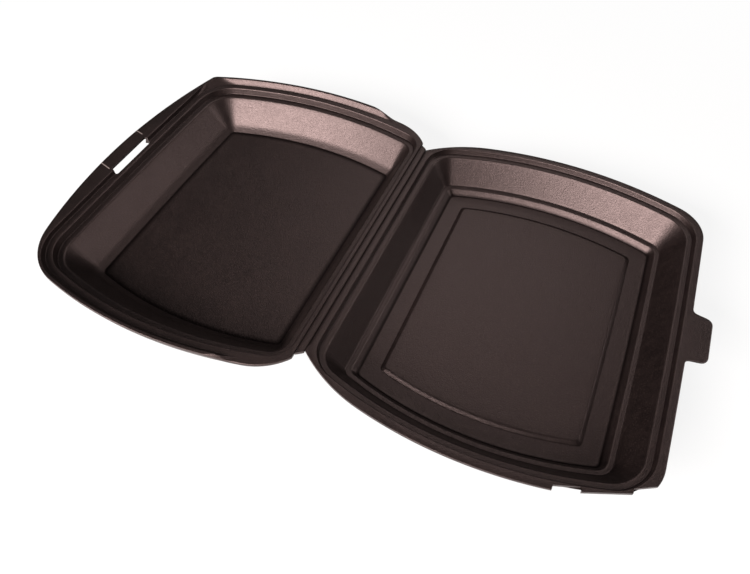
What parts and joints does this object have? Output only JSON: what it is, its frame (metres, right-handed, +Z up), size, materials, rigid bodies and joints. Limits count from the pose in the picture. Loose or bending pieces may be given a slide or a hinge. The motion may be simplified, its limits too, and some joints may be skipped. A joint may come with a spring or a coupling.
{
  "type": "hinged foam food container",
  "caption": "Pressed foam food container lying open: a stepped tray with a lock tab, a creased strip as its hinge, and a lid with a skirt, a front flange and a slot for the tab.",
  "frame": {"origin": "on the table, under the middle of the open container's bounding box", "axes": "+X from the lid towards the tray's lock tab, +Y along the hinge, +Z up"},
  "size_m": [0.4128, 0.2484, 0.0317],
  "materials": {
    "foam": "satin"
  },
  "bodies": {
    "tray": {"tray": "foam"},
    "hinge_strip": {"hinge_strip": "foam"},
    "lid": {"lid": "foam"}
  },
  "joints": [
    {"name": "tray_crease", "type": "hinge", "parent": "tray", "child": "hinge_strip", "pos_m": [-0.0013, 0, 0.0277], "axis": [0, 1, 0], "range_deg": [0, 90]},
    {"name": "lid_crease", "type": "hinge", "parent": "hinge_strip", "child": "lid", "pos_m": [-0.0059, 0, 0.0277], "axis": [0, 1, 0], "range_deg": [0, 90]}
  ]
}
